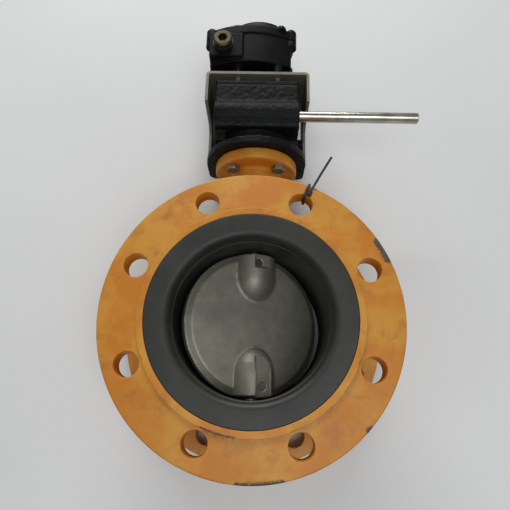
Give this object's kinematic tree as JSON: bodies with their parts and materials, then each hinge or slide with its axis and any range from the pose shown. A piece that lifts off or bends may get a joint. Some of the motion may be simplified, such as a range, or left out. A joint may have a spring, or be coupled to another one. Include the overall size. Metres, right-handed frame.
{
  "type": "butterfly valve",
  "caption": "Double-flanged butterfly valve with a rubber-lined bore, a worm gear operator with a bare input shaft, a sheet bracket and a limit switch box.",
  "frame": {"origin": "on the bore axis, in the plane of the rear flange's raised face, which the valve lies on", "axes": "+Z along the bore, from the rear flange to the front one; +Y along the stem, from the bore to the switch box; +X towards the free end of the input shaft"},
  "size_m": [0.3205, 0.4925, 0.127],
  "materials": {
    "body_paint": "ochre paint, satin, worn at the edges",
    "rubber": "matt, moulded",
    "seal_rubber": "matt",
    "disc_metal": "cast, blasted",
    "steel": "turned",
    "bright_steel": "ground, bright",
    "dark_steel": "blackened",
    "zinc": "zinc plated",
    "bronze": "turned bronze",
    "plug_brass": "nickel plated, worn to brass",
    "black_paint": "black paint on a rough casting",
    "box_paint": "black coated die casting",
    "sheet_steel": "folded stainless sheet, dull",
    "clear_plastic": "clear, gloss",
    "indicator_plastic": "matt",
    "cam_red": "matt",
    "cam_green": "matt",
    "switch_plastic": "matt",
    "terminal_plastic": "matt"
  },
  "bodies": {
    "body": {"valve_body": "body_paint", "seat_liner": "rubber", "upper_stem_bushes": "bronze", "lower_stem_bush": "bronze", "stem_seals": "seal_rubber", "bottom_plug": "body_paint", "gearbox_housing": "black_paint", "gearbox_bolts": "zinc", "cover_gasket": "seal_rubber", "gearbox_cover": "black_paint", "cover_screws": "zinc", "shaft_bushes": "bronze", "thrust_washers": "bronze", "shaft_seal": "seal_rubber", "worm_end_cap": "black_paint", "stop_screws": "zinc", "stop_nuts": "zinc", "output_seal": "seal_rubber", "bracket": "sheet_steel", "bracket_screws": "zinc", "box_screws": "zinc", "box_washers": "zinc", "switch_box_base": "box_paint", "lid_gasket": "seal_rubber", "switch_box_lid": "box_paint", "lid_screws": "dark_steel", "cap_screws": "dark_steel", "cable_plug": "plug_brass", "plug_washer": "plug_brass", "indicator_window": "clear_plastic", "switch_plate": "sheet_steel", "lower_switch": "switch_plastic", "upper_switch": "switch_plastic", "terminal_strip": "terminal_plastic", "earth_screw": "zinc", "switch_shaft_bush": "bronze"},
    "disc_train": {"disc": "disc_metal", "upper_stem": "steel", "lower_stem": "steel", "disc_pins": "steel", "worm_wheel": "bronze", "indicator_shaft": "steel", "indicator_disc": "indicator_plastic", "lower_cam": "cam_red", "upper_cam": "cam_green"},
    "input": {"input_shaft": "bright_steel", "worm": "dark_steel", "worm_pin": "dark_steel"}
  },
  "joints": [
    {"name": "disc_turn", "type": "hinge", "parent": "body", "child": "disc_train", "pos_m": [0, 0.1, 0.0635], "axis": [0, 1, 0], "range_deg": [-25, 65]},
    {"name": "input_turn", "type": "hinge", "parent": "body", "child": "input", "pos_m": [0, 0.2275, 0.0975], "axis": [1, 0, 0], "range_deg": [-1570, 610]}
  ],
  "couplings": [
    {"joint": "input_turn", "follows": "disc_turn", "ratio": -24}
  ]
}
